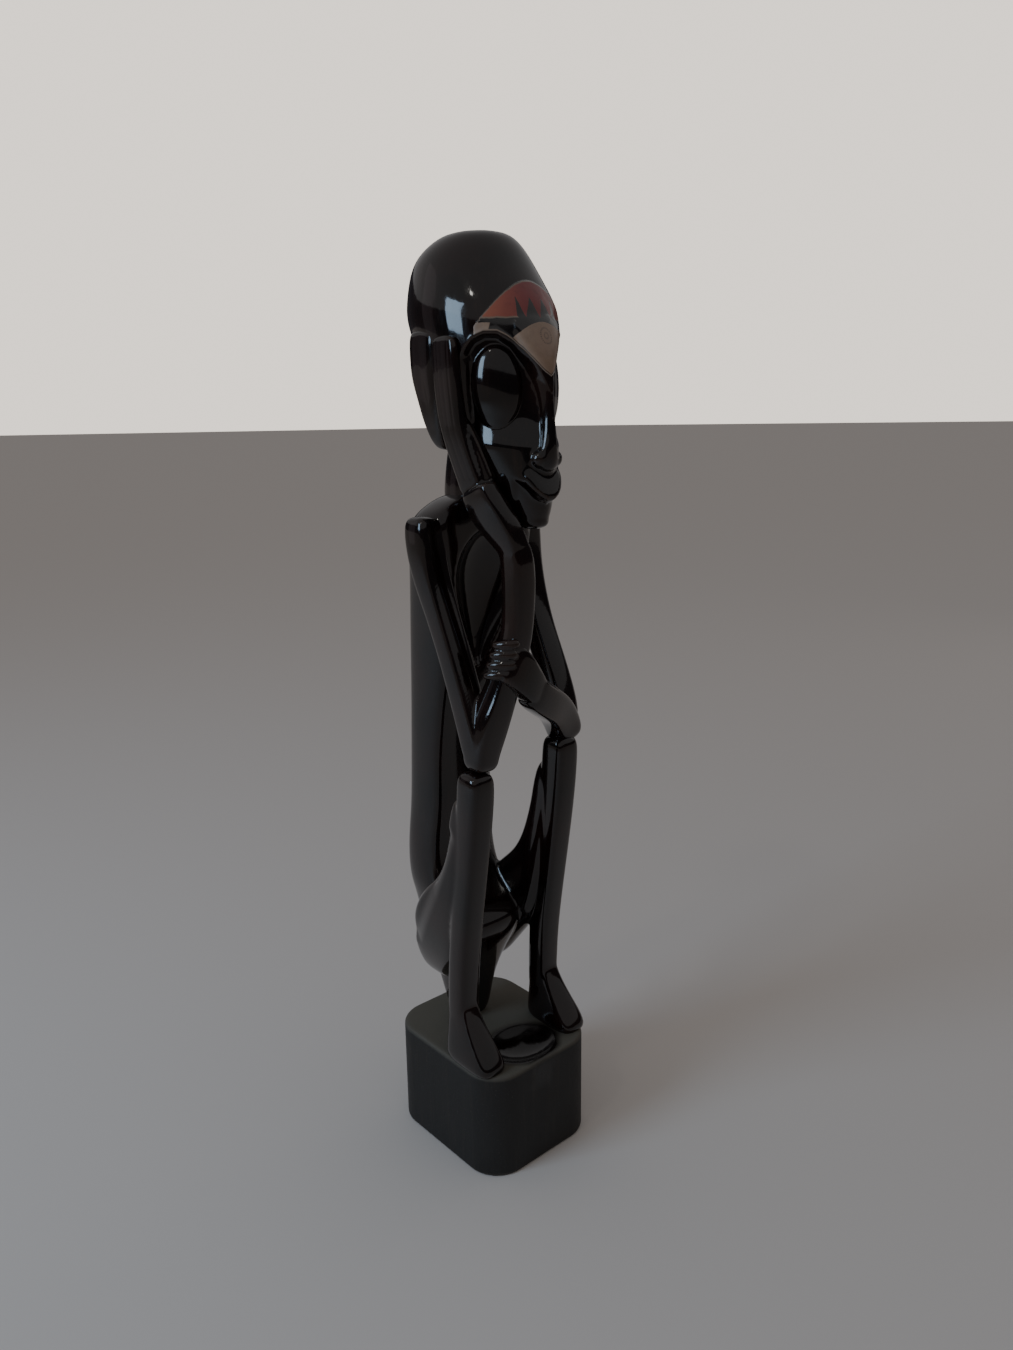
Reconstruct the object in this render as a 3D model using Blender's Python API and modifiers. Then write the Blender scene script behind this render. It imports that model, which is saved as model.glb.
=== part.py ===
"""Carved wooden statuette: a slim seated figure that rests its chin on one hand, on a block base.

Metres, +Z up. The figure faces -Y, so its own right side is at -X. The origin is the centre of the
base block's underside, where the statuette rests on a shelf.

The real statuette is one carving. Here it is divided along its own members, head, arms, legs and so
on, with a hairline gap between neighbours, so that each member is a closed solid of its own and the
spaces between the arms, the legs and the body stay open.
"""

import math

import bmesh
import bpy
from mathutils import Matrix, Vector

# Overall size
HEIGHT = 0.398
GAP = 0.0003

# Base block
BASE_WIDTH = 0.0635
BASE_DEPTH = 0.0735
BASE_HEIGHT = 0.0500
BASE_CORNER = 0.0155
BASE_RIM = 0.0012
CORNER_SEGMENTS = 8

# Joints of the limbs. Where one value serves both sides, x is measured outwards from the middle.
SHOULDER = Vector((0.0290, 0.0085, 0.2800))
RIGHT_ELBOW = Vector((-0.0240, -0.0205, 0.1980))
LEFT_ELBOW = Vector((0.0310, -0.0200, 0.1995))
RIGHT_WRIST = Vector((-0.0100, -0.0330, 0.2780))
LEFT_GRIP = Vector((-0.0130, -0.0350, 0.2320))
RIGHT_KNEE = Vector((-0.0240, -0.0215, 0.1790))
LEFT_KNEE = Vector((0.0240, -0.0220, 0.1850))
ANKLE = Vector((0.0247, -0.0095, 0.0660))
FIGURE_BOTTOM = BASE_HEIGHT + GAP
WAIST = 0.1310

# Sections of the bars that make the limbs, as half widths
ARM_HALF = 0.0055
KNEE_HALF = 0.0076
CHAMFER = 0.42
ROUND = 2 - math.sqrt(2)
END_STEP = 0.0006

# Finishes: colour, roughness, metallic
LACQUER = ("black_lacquer", (0.012, 0.009, 0.008), 0.12, 0.0)
STAIN = ("matt_stain", (0.021, 0.019, 0.017), 0.62, 0.0)

# Which neighbours each member is cut back from, where their shapes meet
CLEARANCES = {
    "neck": ("head", "torso"),
    "pelvis": ("right_thigh", "left_thigh"),
    "torso": ("right_thigh", "left_thigh"),
    "right_ear": ("head", "neck"),
    "left_ear": ("head", "neck"),
    "right_upper_arm": ("torso", "right_forearm", "right_thigh", "right_shin"),
    "left_upper_arm": ("torso", "left_forearm", "left_thigh", "left_shin"),
    "right_forearm": ("head", "right_shin", "right_thigh"),
    "right_hand": ("head", "right_forearm", "right_ear", "neck"),
    "left_forearm": ("right_forearm", "left_shin", "left_thigh"),
    "left_hand": ("right_forearm", "left_forearm"),
    "right_thigh": ("right_shin",),
    "left_thigh": ("left_shin",),
    "right_foot": ("right_shin",),
    "left_foot": ("left_shin",),
}

PARTS = "thinker_statuette"
CUTTERS = "hidden_cutters"


def clear_scene():
    """Remove whatever the scene holds."""
    for item in list(bpy.data.objects):
        bpy.data.objects.remove(item, do_unlink=True)


def collection(name):
    """The collection of this name, made on first use."""
    found = bpy.data.collections.get(name)
    if found is None:
        found = bpy.data.collections.new(name)
        bpy.context.scene.collection.children.link(found)
    return found


def finish_material(finish):
    """The Principled material of a finish, made on first use."""
    name, colour, roughness, metallic = finish
    material = bpy.data.materials.get(name)
    if material is None:
        material = bpy.data.materials.new(name)
        material.use_nodes = True
        shader = material.node_tree.nodes["Principled BSDF"]
        shader.inputs["Base Color"].default_value = (*colour, 1.0)
        shader.inputs["Roughness"].default_value = roughness
        shader.inputs["Metallic"].default_value = metallic
    return material


def add_object(name, mesh_data, finish, levels=0):
    """An object from a bmesh, shaded smooth, with a live Subdivision Surface where one is wanted."""
    mesh = bpy.data.meshes.new(name)
    bmesh.ops.recalc_face_normals(mesh_data, faces=mesh_data.faces)
    mesh_data.to_mesh(mesh)
    mesh_data.free()
    mesh.shade_smooth()
    mesh.materials.append(finish_material(finish))
    item = bpy.data.objects.new(name, mesh)
    collection(PARTS).objects.link(item)
    if levels:
        rounding = item.modifiers.new("rounding", "SUBSURF")
        rounding.levels = levels
        rounding.render_levels = levels
    return item


def mirrored(point, side):
    """A point given on the +X side, on the side asked for (+1 left of the figure, -1 right)."""
    return Vector((side * point[0], point[1], point[2]))


def bar_section(chamfer=CHAMFER):
    """A unit square with its corners cut off, as the eight points of a bar's cage."""
    inner = 1.0 - chamfer
    corners = [(1, inner), (inner, 1), (-inner, 1), (-1, inner)]
    return corners + [(-x, -y) for x, y in corners]


def placed(point, frame):
    """A section's point in space, from its station's (centre, across, along, half, half)."""
    centre, across, along, half_across, half_along = frame
    return centre + across * (point[0] * half_across) + along * (point[1] * half_along)


def lofted(frames, section=None):
    """A closed cage through the stations: one face extruded from station to station and set in place."""
    section = section or bar_section()
    cage = bmesh.new()
    bmesh.ops.create_circle(cage, cap_ends=True, segments=len(section), radius=1.0)
    face = cage.faces[:][0]
    ring = list(face.verts)
    for frame in frames:
        if frame is not frames[0]:
            made = bmesh.ops.extrude_face_region(cage, geom=[face])["geom"]
            next_face = next(g for g in made if isinstance(g, bmesh.types.BMFace))
            if frame is not frames[1]:
                cage.faces.remove(face)
            face = next_face
            ring = list(face.verts)
        for vertex, point in zip(ring, section):
            vertex.co = placed(point, frame)
    return cage


def bar_frames(stations, towards):
    """Station frames square to a path. Each station is (centre, half width, half depth)."""
    frames = []
    last = len(stations) - 1
    for index, (centre, half_width, half_depth) in enumerate(stations):
        before = stations[max(index - 1, 0)][0]
        after = stations[min(index + 1, last)][0]
        direction = (Vector(after) - Vector(before)).normalized()
        along = (towards - direction * towards.dot(direction)).normalized()
        across = direction.cross(along)
        frames.append((Vector(centre), across, along, half_width, half_depth))
    return frames


def level_frames(stations):
    """Level station frames. Each station is (height, x centre, half width, front y, back y)."""
    frames = []
    for height, x_centre, half_width, front, back in stations:
        centre = Vector((x_centre, (front + back) / 2, height))
        frames.append((centre, Vector((1, 0, 0)), Vector((0, 1, 0)), half_width, (back - front) / 2))
    return frames


def base_block():
    """Block with strongly rounded upright edges, a slightly broken rim and a flat underside."""
    block = bmesh.new()
    bmesh.ops.create_cube(block, size=1.0)
    bmesh.ops.scale(block, vec=(BASE_WIDTH, BASE_DEPTH, BASE_HEIGHT), verts=block.verts)
    bmesh.ops.translate(block, vec=(0, 0, BASE_HEIGHT / 2), verts=block.verts)
    upright = [e for e in block.edges if abs(e.verts[0].co.z - e.verts[1].co.z) > BASE_HEIGHT / 2]
    bmesh.ops.bevel(
        block, geom=upright, offset=BASE_CORNER, segments=CORNER_SEGMENTS,
        profile=0.5, affect="EDGES",
    )
    rims = [e for e in block.edges if all(v.co.z > BASE_HEIGHT * 0.99 for v in e.verts)]
    bmesh.ops.bevel(block, geom=rims, offset=BASE_RIM, segments=2, profile=0.5, affect="EDGES")
    return add_object("base_block", block, STAIN)


def limb(name, stations, towards=Vector((0, -1, 0)), chamfer=CHAMFER):
    """A carved bar with rounded edges along a path of stations."""
    cage = lofted(bar_frames(stations, towards), bar_section(chamfer))
    return add_object(name, cage, LACQUER, levels=1)


def level_form(name, stations, chamfer=CHAMFER):
    """A carved form built up from level sections."""
    return add_object(name, lofted(level_frames(stations), bar_section(chamfer)), LACQUER, levels=1)


def relieve(item, neighbours):
    """Cut a member back so that it stops a hairline short of its neighbours."""
    for neighbour in neighbours:
        cutter_name = "grown_" + neighbour.name
        cutter = bpy.data.objects.get(cutter_name)
        if cutter is None:
            cutter = bpy.data.objects.new(cutter_name, neighbour.data)
            collection(CUTTERS).objects.link(cutter)
            cutter.hide_render = True
            cutter.display_type = "WIRE"
            for source in neighbour.modifiers:
                if source.type == "SUBSURF":
                    copied = cutter.modifiers.new(source.name, "SUBSURF")
                    copied.levels = source.levels
                    copied.render_levels = source.render_levels
            grow = cutter.modifiers.new("hairline", "DISPLACE")
            grow.strength = GAP
            grow.mid_level = 0.0
        cut = item.modifiers.new("clear of " + neighbour.name, "BOOLEAN")
        cut.operation = "DIFFERENCE"
        cut.solver = "EXACT"
        cut.object = cutter


def torso():
    """Long flat-backed trunk: shoulder yoke and hollow chest above a thin slab that leans forward."""
    return level_form("torso", [
        (0.2950, 0, 0.0120, -0.0060, 0.0140),
        (0.2900, 0, 0.0220, -0.0060, 0.0175),
        (0.2780, 0, 0.0290, -0.0050, 0.0210),
        (0.2600, 0, 0.0240, -0.0030, 0.0270),
        (0.2350, 0, 0.0205, 0.0020, 0.0325),
        (0.2100, 0, 0.0185, 0.0090, 0.0350),
        (0.1800, 0, 0.0175, 0.0150, 0.0375),
        (0.1550, 0, 0.0175, 0.0140, 0.0390),
        (WAIST + END_STEP, 0, 0.0185, 0.0080, 0.0395),
        (WAIST, 0, 0.0185, 0.0080, 0.0395),
    ])


def pelvis():
    """Lap and haunches that narrow down to the wedge on which the figure sits."""
    return level_form("pelvis", [
        (WAIST - GAP, 0, 0.0185, -0.0110, 0.0395),
        (WAIST - GAP - END_STEP, 0, 0.0185, -0.0120, 0.0395),
        (0.1200, 0, 0.0195, -0.0130, 0.0390),
        (0.1030, 0, 0.0175, -0.0070, 0.0375),
        (0.0850, 0, 0.0140, 0.0010, 0.0345),
        (0.0660, 0, 0.0100, 0.0085, 0.0280),
        (FIGURE_BOTTOM + END_STEP, 0, 0.0090, 0.0100, 0.0215),
        (FIGURE_BOTTOM, 0, 0.0090, 0.0100, 0.0215),
    ])


def neck():
    """Short round column between the shoulders and the head."""
    return limb("neck", [
        ((0, 0.0060, 0.2900), 0.0115, 0.0115),
        ((0, 0.0060, 0.3050), 0.0110, 0.0115),
        ((0, 0.0060, 0.3250), 0.0120, 0.0120),
    ], chamfer=ROUND)


def head():
    """Long mask-like head: narrow chin, flat cheeks, high egg-shaped crown."""
    return level_form("head", [
        (0.2840, 0, 0.0070, -0.0380, -0.0260),
        (0.2920, 0, 0.0115, -0.0430, -0.0160),
        (0.3030, 0, 0.0155, -0.0440, -0.0040),
        (0.3130, 0, 0.0190, -0.0440, 0.0060),
        (0.3250, 0, 0.0220, -0.0400, 0.0110),
        (0.3360, 0, 0.0245, -0.0385, 0.0160),
        (0.3470, 0, 0.0255, -0.0370, 0.0220),
        (0.3580, 0, 0.0275, -0.0390, 0.0305),
        (0.3700, 0, 0.0280, -0.0370, 0.0345),
        (0.3820, 0, 0.0250, -0.0320, 0.0315),
        (0.3920, 0, 0.0180, -0.0230, 0.0210),
        (HEIGHT, 0, 0.0090, -0.0120, 0.0100),
    ], chamfer=ROUND)


def ear(name, side):
    """Long lobe that lies along the back of the cheek."""
    return limb(name, [
        (mirrored((0.0195, 0.0100, 0.3600), side), 0.0055, 0.0090),
        (mirrored((0.0200, 0.0100, 0.3480), side), 0.0055, 0.0095),
        (mirrored((0.0185, 0.0090, 0.3330), side), 0.0050, 0.0080),
        (mirrored((0.0150, 0.0080, 0.3160), side), 0.0035, 0.0045),
    ])


def upper_arm(name, side, elbow):
    """Slim bar from the shoulder down to the elbow."""
    shoulder = mirrored(SHOULDER, side)
    middle = shoulder.lerp(elbow, 0.45) + mirrored((0.0005, 0.0020, 0), side)
    return limb(name, [
        (shoulder + Vector((0, -0.0010, 0.0080)), 0.0045, 0.0050),
        (shoulder, ARM_HALF, 0.0065),
        (middle, ARM_HALF, ARM_HALF),
        (elbow + Vector((0, 0.0010, 0.0040)), ARM_HALF, 0.0060),
        (elbow + Vector((0, 0, -0.0070)), 0.0050, 0.0050),
    ])


def right_forearm():
    """Bar that stands on the right knee and carries the chin."""
    return limb("right_forearm", [
        (RIGHT_ELBOW + Vector((0.0030, -0.0010, -0.0140)), 0.0055, 0.0060),
        (RIGHT_ELBOW + Vector((0.0040, -0.0020, -0.0040)), 0.0065, 0.0070),
        (RIGHT_ELBOW.lerp(RIGHT_WRIST, 0.40), 0.0070, 0.0080),
        (RIGHT_ELBOW.lerp(RIGHT_WRIST, 0.75), 0.0065, 0.0075),
        (RIGHT_WRIST, 0.0060, 0.0070),
        (RIGHT_WRIST + Vector((-0.0020, 0.0040, 0.0100)), 0.0055, 0.0060),
    ])


def right_hand():
    """Hand laid back along the jaw, with the fingers up the side of the head."""
    return limb("right_hand", [
        ((-0.0130, -0.0310, 0.2880), 0.0050, 0.0070),
        ((-0.0190, -0.0220, 0.2990), 0.0045, 0.0100),
        ((-0.0235, -0.0130, 0.3080), 0.0040, 0.0090),
        ((-0.0270, -0.0070, 0.3300), 0.0035, 0.0070),
        ((-0.0285, -0.0010, 0.3560), 0.0030, 0.0050),
    ])


def left_forearm():
    """Bar from the left elbow across to the grip on the right forearm."""
    return limb("left_forearm", [
        (LEFT_ELBOW + Vector((0.0030, 0.0005, -0.0040)), 0.0060, 0.0060),
        (LEFT_ELBOW + Vector((-0.0060, -0.0030, 0.0000)), 0.0060, 0.0065),
        (LEFT_ELBOW.lerp(LEFT_GRIP, 0.55) + Vector((0, -0.0020, 0)), 0.0055, 0.0065),
        (LEFT_GRIP + Vector((0.0080, -0.0020, -0.0010)), 0.0055, 0.0080),
    ])


def left_hand():
    """Hand closed over the front and outer side of the right forearm."""
    return limb("left_hand", [
        (LEFT_GRIP + Vector((0.0060, -0.0020, -0.0010)), 0.0050, 0.0085),
        (LEFT_GRIP + Vector((0.0000, -0.0010, 0.0000)), 0.0050, 0.0100),
        (LEFT_GRIP + Vector((-0.0060, 0.0040, 0.0010)), 0.0050, 0.0100),
        (LEFT_GRIP + Vector((-0.0075, 0.0110, 0.0010)), 0.0040, 0.0090),
    ])


def shin(name, knee, ankle):
    """Nearly upright bar with a domed knee."""
    return limb(name, [
        (knee + Vector((0, 0, 0.0065)), 0.0060, 0.0060),
        (knee + Vector((0, 0, 0.0010)), KNEE_HALF, KNEE_HALF),
        (knee.lerp(ankle, 0.40), KNEE_HALF, KNEE_HALF),
        (knee.lerp(ankle, 0.80), 0.0060, 0.0065),
        (ankle, 0.0056, 0.0060),
    ])


def thigh(name, side):
    """Fin behind the shin: its back edge falls from the knee to the haunch, its lower edge is arched."""
    return level_form(name, [
        (0.1780, side * 0.0235, 0.0060, -0.0200, -0.0100),
        (0.1600, side * 0.0235, 0.0065, -0.0180, -0.0065),
        (0.1400, side * 0.0230, 0.0070, -0.0160, 0.0030),
        (0.1200, side * 0.0220, 0.0075, -0.0130, 0.0140),
        (0.1040, side * 0.0205, 0.0075, -0.0080, 0.0230),
        (0.0900, side * 0.0185, 0.0070, 0.0030, 0.0290),
        (0.0760, side * 0.0155, 0.0045, 0.0120, 0.0280),
    ])


def foot(name, side):
    """Wedge from the ankle forward to the rim of the block."""
    return level_form(name, [
        (ANKLE.z + 0.0030, side * ANKLE.x, 0.0056, -0.0160, -0.0035),
        (ANKLE.z - 0.0050, side * ANKLE.x, 0.0065, -0.0240, -0.0025),
        (FIGURE_BOTTOM + 0.0020, side * ANKLE.x, 0.0075, -0.0340, -0.0020),
        (FIGURE_BOTTOM, side * ANKLE.x, 0.0075, -0.0345, -0.0020),
    ])


def main():
    clear_scene()
    base_block()
    torso()
    pelvis()
    neck()
    head()
    right_forearm()
    right_hand()
    left_forearm()
    left_hand()
    for side, word, knee, elbow in (
        (-1, "right", RIGHT_KNEE, RIGHT_ELBOW),
        (1, "left", LEFT_KNEE, LEFT_ELBOW),
    ):
        ear(word + "_ear", side)
        upper_arm(word + "_upper_arm", side, elbow)
        shin(word + "_shin", knee, mirrored(ANKLE, side))
        thigh(word + "_thigh", side)
        foot(word + "_foot", side)
    for name, neighbours in CLEARANCES.items():
        relieve(bpy.data.objects[name], [bpy.data.objects[other] for other in neighbours])


main()
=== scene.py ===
import math

import bmesh
import bpy
import numpy as np
from bpy.props import FloatProperty, FloatVectorProperty, IntProperty, PointerProperty
from mathutils import Matrix, Vector
from mathutils.bvhtree import BVHTree


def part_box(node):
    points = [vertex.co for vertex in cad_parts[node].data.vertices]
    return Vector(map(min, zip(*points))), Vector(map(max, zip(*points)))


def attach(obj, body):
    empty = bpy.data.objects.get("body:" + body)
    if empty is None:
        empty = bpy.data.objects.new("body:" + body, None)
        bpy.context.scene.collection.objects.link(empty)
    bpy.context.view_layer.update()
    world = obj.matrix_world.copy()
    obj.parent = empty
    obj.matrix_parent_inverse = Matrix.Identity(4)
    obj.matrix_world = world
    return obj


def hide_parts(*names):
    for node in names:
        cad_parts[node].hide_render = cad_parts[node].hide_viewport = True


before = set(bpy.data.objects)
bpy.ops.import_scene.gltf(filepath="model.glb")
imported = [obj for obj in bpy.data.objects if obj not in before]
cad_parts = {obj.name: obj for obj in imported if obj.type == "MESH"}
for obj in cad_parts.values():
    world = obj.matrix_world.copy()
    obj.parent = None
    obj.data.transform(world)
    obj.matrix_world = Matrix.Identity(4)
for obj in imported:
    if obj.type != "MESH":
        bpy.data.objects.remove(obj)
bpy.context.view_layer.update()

# Carved wooden statuette: a slim seated figure in black lacquer on a matt block base.
# Metres, +Z up. The figure faces -Y, so its own right side is at -X.

bl_info = {
    "name": "Carved Seated Statuette",
    "version": (1, 0, 0),
    "blender": (4, 5, 0),
    "location": "View3D > Sidebar > Statuette",
    "description": "Builds a lacquered wooden statuette and a plain studio round it",
    "category": "Add Mesh",
}

MM = 0.001

# How much of a bar's half width each corner loses, and the upright line that the face turns about.
SQUARE, SOFT_SQUARE, ROUND = 0.28, 0.42, 2 - math.sqrt(2)
FACE_AXIS_Y = -0.008

BLOCK_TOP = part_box("base_block")[1].z
BLOCK_CORNER, BLOCK_RIM, BLOCK_FOOT = 0.0155, 0.0013, 0.0006
DISH, DISH_SIZE = (0.0, -0.0212, 0.0570), (0.0205, 0.0165, 0.0118)
FINGER_PITCH = 0.0034


# ---------------------------------------------------------------- settings

class StatuetteSizes(bpy.types.PropertyGroup):
    """Sizes that set how finely the figure is carved."""
    body_cut: FloatProperty(
        name="Body cut", description="Size of the finest cut on the trunk and legs",
        default=0.00062, min=0.0003, max=0.003, precision=5, unit="LENGTH",
    )
    head_cut: FloatProperty(
        name="Head cut", description="Size of the finest cut on the head and neck",
        default=0.00054, min=0.0003, max=0.003, precision=5, unit="LENGTH",
    )
    arm_cut: FloatProperty(
        name="Arm cut", description="Size of the finest cut on the arms, hands and ears",
        default=0.00045, min=0.0002, max=0.003, precision=5, unit="LENGTH",
    )
    polish: IntProperty(
        name="Polish", description="Rubbing passes over the carved wood before it is lacquered",
        default=7, min=0, max=40,
    )


class StatuetteFinish(bpy.types.PropertyGroup):
    """Colours and sheen of the finishes."""
    lacquer: FloatVectorProperty(
        name="Lacquer", description="Brown black of the lacquer", subtype="COLOR",
        default=(0.0048, 0.0030, 0.0028), min=0.0, max=1.0,
    )
    stain: FloatVectorProperty(
        name="Base stain", description="Matt black of the block", subtype="COLOR",
        default=(0.0125, 0.0115, 0.0108), min=0.0, max=1.0,
    )
    brow_red: FloatVectorProperty(
        name="Brow red", description="Red field of the painted brow", subtype="COLOR",
        default=(0.22, 0.030, 0.030), min=0.0, max=1.0,
    )
    brow_tan: FloatVectorProperty(
        name="Brow tan", description="Tan lines and leaf of the painted brow", subtype="COLOR",
        default=(0.32, 0.215, 0.150), min=0.0, max=1.0,
    )
    sheen: FloatProperty(
        name="Lacquer roughness", description="Roughness of clean lacquer", subtype="FACTOR",
        default=0.10, min=0.0, max=1.0,
    )


class StatuetteStudio(bpy.types.PropertyGroup):
    """Light and floor of the studio."""
    daylight: FloatProperty(
        name="Daylight", description="Power of the cool window light", subtype="POWER",
        default=1.4, min=0.0,
    )
    fill: FloatProperty(
        name="Fill", description="Power of each soft side light", subtype="POWER",
        default=0.26, min=0.0,
    )
    sky: FloatProperty(
        name="Overhead light", description="Strength of the wide soft light from above",
        default=0.8, min=0.0,
    )
    floor: FloatVectorProperty(
        name="Floor", description="Colour of the plain floor", subtype="COLOR",
        default=(0.66, 0.61, 0.57), min=0.0, max=1.0,
    )


# ---------------------------------------------------------------- carving tools

def bar_section(chamfer):
    """A unit square with its corners cut off, as the eight points of a bar's cage."""
    inner = 1.0 - chamfer
    corners = [(1, inner), (inner, 1), (-inner, 1), (-1, inner)]
    return corners + [(-x, -y) for x, y in corners]


def lofted(frames, chamfer):
    """A closed cage through the stations: one face extruded from station to station and set in place."""
    section = bar_section(chamfer)
    cage = bmesh.new()
    bmesh.ops.create_circle(cage, cap_ends=True, segments=len(section), radius=1.0)
    face = cage.faces[:][0]
    ring = list(face.verts)
    for number, (centre, across, along, half_across, half_along) in enumerate(frames):
        if number:
            made = bmesh.ops.extrude_face_region(cage, geom=[face])["geom"]
            next_face = next(g for g in made if isinstance(g, bmesh.types.BMFace))
            if number > 1:
                cage.faces.remove(face)
            face = next_face
            ring = list(face.verts)
        for vertex, (x, y) in zip(ring, section):
            vertex.co = centre + across * (x * half_across) + along * (y * half_along)
    bmesh.ops.recalc_face_normals(cage, faces=cage.faces)
    return cage


def bar(stations, towards=(0, -1, 0), chamfer=SOFT_SQUARE):
    """A bar along a path. Each station is (centre, half width, half depth towards the given way)."""
    towards = Vector(towards)
    frames = []
    last = len(stations) - 1
    for index, (centre, half_width, half_depth) in enumerate(stations):
        before, after = stations[max(index - 1, 0)][0], stations[min(index + 1, last)][0]
        direction = (Vector(after) - Vector(before)).normalized()
        along = (towards - direction * towards.dot(direction)).normalized()
        frames.append((Vector(centre), direction.cross(along), along, half_width, half_depth))
    return lofted(frames, chamfer)


def levels(stations, chamfer=SOFT_SQUARE):
    """A form from level sections. Each station is (height, x centre, half width, front y, back y)."""
    return lofted([
        (Vector((x, (front + back) / 2, z)), Vector((1, 0, 0)), Vector((0, 1, 0)), half, (back - front) / 2)
        for z, x, half, front, back in stations
    ], chamfer)


def ball(centre, radii):
    """An egg of the given half sizes."""
    egg = bmesh.new()
    bmesh.ops.create_icosphere(egg, subdivisions=5, radius=1.0)
    matrix = Matrix.Translation(Vector(centre)) @ Matrix.Diagonal((*radii, 1.0))
    bmesh.ops.transform(egg, matrix=matrix, verts=egg.verts)
    return egg


def on_head(angle, radius, height):
    """A point at this angle from the middle of the face, in degrees towards the figure's left."""
    turn = math.radians(angle)
    return (radius * math.sin(turn), FACE_AXIS_Y - radius * math.cos(turn), height)


def mesh_of(cage, name="form"):
    """The cage as a mesh of its own."""
    mesh = bpy.data.meshes.new(name)
    cage.to_mesh(mesh)
    cage.free()
    return mesh


def evaluated(item):
    """The item's mesh with its modifiers worked out, and the item itself removed."""
    graph = bpy.context.evaluated_depsgraph_get()
    mesh = bpy.data.meshes.new_from_object(item.evaluated_get(graph))
    old = item.data
    bpy.data.objects.remove(item)
    bpy.data.meshes.remove(old)
    return mesh


def helper(mesh):
    """A passing object to work the mesh on."""
    item = bpy.data.objects.new("helper", mesh)
    bpy.context.scene.collection.objects.link(item)
    return item


def rounded(cage, subdivisions=3, hollows=()):
    """The form with its cage rounded off, and hollows carved out of it."""
    item = helper(mesh_of(cage))
    if subdivisions:
        subsurf = item.modifiers.new("rounding", "SUBSURF")
        subsurf.levels = subsurf.render_levels = subdivisions
    cutters = []
    for hollow in hollows:
        cutter = helper(mesh_of(hollow))
        cutters.append(cutter)
        cut = item.modifiers.new("hollow", "BOOLEAN")
        cut.operation, cut.solver, cut.object = "DIFFERENCE", "EXACT", cutter
    mesh = evaluated(item)
    for cutter in cutters:
        old = cutter.data
        bpy.data.objects.remove(cutter)
        bpy.data.meshes.remove(old)
    return mesh


def rounded_cutter(cage):
    """A rounded form as a cutter."""
    mesh = rounded(cage, 3)
    cutter = bmesh.new()
    cutter.from_mesh(mesh)
    bpy.data.meshes.remove(mesh)
    return cutter


def smooth(share):
    """0 up to 0, 1 from 1, and an even bend between."""
    share = np.clip(share, 0.0, 1.0)
    return share * share * (3 - 2 * share)


def rub(mesh, passes):
    """Rubs the surface smooth."""
    worked = bmesh.new()
    worked.from_mesh(mesh)
    for _ in range(passes):
        bmesh.ops.smooth_vert(
            worked, verts=worked.verts, factor=0.5, use_axis_x=True, use_axis_y=True, use_axis_z=True,
        )
    worked.to_mesh(mesh)
    worked.free()


def fused(forms, cut, polish):
    """All forms made one skin, with no inner walls, and rubbed smooth."""
    joined = bmesh.new()
    for form in forms:
        joined.from_mesh(form)
        bpy.data.meshes.remove(form)
    item = helper(mesh_of(joined))
    skin = item.modifiers.new("one skin", "REMESH")
    skin.mode = "VOXEL"
    skin.voxel_size = cut
    skin.adaptivity = 0.0
    mesh = evaluated(item)
    rub(mesh, polish)
    return mesh


def sawn(mesh, point, normal):
    """The two halves of a flat saw cut, both closed: the one behind the cut and the one ahead of it."""
    halves = []
    for ahead in (False, True):
        part = bmesh.new()
        part.from_mesh(mesh)
        made = bmesh.ops.bisect_plane(
            part, geom=part.verts[:] + part.edges[:] + part.faces[:], dist=1e-7,
            plane_co=Vector(point), plane_no=Vector(normal), clear_inner=ahead, clear_outer=not ahead,
        )["geom_cut"]
        rim = [g for g in made if isinstance(g, bmesh.types.BMEdge)]
        inside = part.faces.layers.int.get("sawn face") or part.faces.layers.int.new("sawn face")
        for face in bmesh.ops.holes_fill(part, edges=rim, sides=0)["faces"]:
            face[inside] = 1
        bmesh.ops.recalc_face_normals(part, faces=part.faces)
        halves.append(mesh_of(part))
    bpy.data.meshes.remove(mesh)
    return halves


def keep_normals(mesh):
    """Stores the way each point faces, so that the skin still looks unbroken after a saw cut."""
    layer = mesh.attributes.new("facing", "FLOAT_VECTOR", "POINT")
    layer.data.foreach_set("vector", directions(mesh).astype(np.float32).ravel())


def use_kept_normals(mesh):
    """Shades the skin by its stored ways of facing, and the saw cuts flat."""
    if "facing" not in mesh.attributes:
        return
    facing = np.empty(len(mesh.vertices) * 3, np.float32)
    mesh.attributes["facing"].data.foreach_get("vector", facing)
    facing = facing.reshape(-1, 3)
    corners = np.empty(len(mesh.loops), np.int32)
    mesh.loops.foreach_get("vertex_index", corners)
    normals = facing[corners]
    for face in mesh.polygons:
        if mesh.attributes["sawn face"].data[face.index].value:
            normals[list(face.loop_indices)] = face.normal
    mesh.normals_split_custom_set(normals.tolist())
    for name in ("facing", "sawn face"):
        mesh.attributes.remove(mesh.attributes[name])


def coordinates(mesh):
    """The place of each point."""
    points = np.empty(len(mesh.vertices) * 3, np.float32)
    mesh.vertices.foreach_get("co", points)
    return points.reshape(-1, 3).astype(np.float64)


def directions(mesh):
    """The way each point faces."""
    normals = np.empty(len(mesh.vertices) * 3, np.float32)
    mesh.vertex_normals.foreach_get("vector", normals)
    return normals.reshape(-1, 3).astype(np.float64)


def distance_to(points, path):
    """How far each point is from the line through the path's points."""
    nearest = np.full(len(points), np.inf)
    for start, end in zip(path[:-1], path[1:]):
        start, end = np.array(start, float), np.array(end, float)
        run = end - start
        share = np.clip(((points - start) @ run) / (run @ run), 0.0, 1.0)
        nearest = np.minimum(nearest, np.linalg.norm(points - start - share[:, None] * run, axis=1))
    return nearest


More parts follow.
